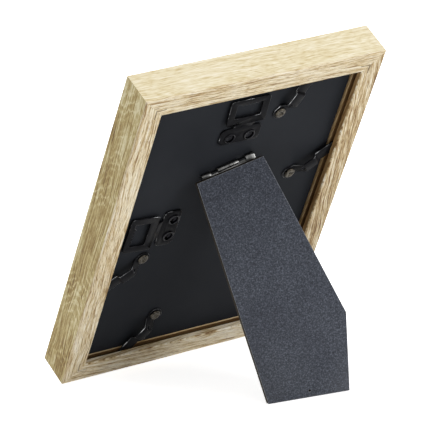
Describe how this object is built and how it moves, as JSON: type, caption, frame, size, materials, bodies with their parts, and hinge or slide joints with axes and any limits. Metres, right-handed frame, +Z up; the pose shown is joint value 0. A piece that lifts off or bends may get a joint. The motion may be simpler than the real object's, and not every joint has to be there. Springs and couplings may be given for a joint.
{
  "type": "easel back photo frame",
  "caption": "Wood-grain photo frame leaning back on a hinged easel strut, with turn clips that hold the backing board and hanger plates for a wall nail.",
  "frame": {"origin": "Centre of the bounding box on the table plane, in the standing pose with the strut open.", "axes": "+Z up from the table, the picture faces -Y and leans back toward +Y, +X to the right as seen from the front."},
  "size_m": [0.12, 0.0956, 0.1583],
  "materials": {
    "oak_foil": "printed oak-grain foil wrapped over fibreboard, satin",
    "nail_steel": "bright rolled steel strip, unpolished",
    "black_steel": "black oxide over pressed steel, semi-gloss",
    "pin_steel": "drawn steel wire, slightly dark",
    "aged_rivet": "dull plated rivet, darkened",
    "black_eyelet": "black lacquered eyelet, glossy rolled rim",
    "clear_glass": "float glass, clear",
    "insert_card": "plain matt paper card",
    "black_board": "fibreboard with a smooth black lacquer, satin",
    "raw_board": "dark hardboard, raw cut edges",
    "velour_paper": "flocked dark grey paper, matt"
  },
  "bodies": {
    "frame": {"bottom_rail": "oak_foil", "top_rail": "oak_foil", "left_rail": "oak_foil", "right_rail": "oak_foil", "top_left_v_nail": "nail_steel", "bottom_left_v_nail": "nail_steel", "top_right_v_nail": "nail_steel", "bottom_right_v_nail": "nail_steel", "glass_pane": "clear_glass", "picture_insert": "insert_card", "clip_rivet_left": "aged_rivet", "clip_rivet_right": "aged_rivet", "clip_rivet_top": "aged_rivet", "clip_rivet_bottom": "aged_rivet", "top_hanger_plate": "black_steel", "top_hanger_eyelet_1": "black_eyelet", "top_hanger_eyelet_2": "black_eyelet", "side_hanger_plate": "black_steel", "side_hanger_eyelet_1": "black_eyelet", "side_hanger_eyelet_2": "black_eyelet", "panel_leaf_rivet_1": "aged_rivet", "panel_leaf_rivet_2": "aged_rivet", "backing_board": "black_board", "hinge_panel_leaf": "black_steel", "hinge_pin": "pin_steel"},
    "strut": {"hinge_strut_leaf": "black_steel", "strut_leaf_rivet_1": "aged_rivet", "strut_leaf_rivet_2": "aged_rivet", "strut_board": "raw_board", "strut_cover_paper": "velour_paper"},
    "clip_left": {"turn_clip_left": "black_steel"},
    "clip_right": {"turn_clip_right": "black_steel"},
    "clip_top": {"turn_clip_top": "black_steel"},
    "clip_bottom": {"turn_clip_bottom": "black_steel"}
  },
  "joints": [
    {"name": "strut_hinge", "type": "hinge", "parent": "frame", "child": "strut", "pos_m": [0.0033, 0.01745, 0.10383], "axis": [-0.9483, 0.147, 0.2812], "range_deg": [0, 38.3]},
    {"name": "turn_clip_left_pivot", "type": "hinge", "parent": "frame", "child": "clip_left", "pos_m": [-0.0331, 0.00962, 0.09173], "axis": [0, 0.8863, -0.4632], "range_deg": [0, 80]},
    {"name": "turn_clip_right_pivot", "type": "hinge", "parent": "frame", "child": "clip_right", "pos_m": [0.0331, -0.00622, 0.06142], "axis": [0, 0.8863, -0.4632], "range_deg": [0, 80]},
    {"name": "turn_clip_top_pivot", "type": "hinge", "parent": "frame", "child": "clip_top", "pos_m": [-0.0165, 0.02819, 0.12727], "axis": [0, -0.8863, 0.4632], "range_deg": [0, 80]},
    {"name": "turn_clip_bottom_pivot", "type": "hinge", "parent": "frame", "child": "clip_bottom", "pos_m": [0.0165, -0.0248, 0.02588], "axis": [0, -0.8863, 0.4632], "range_deg": [0, 80]}
  ]
}
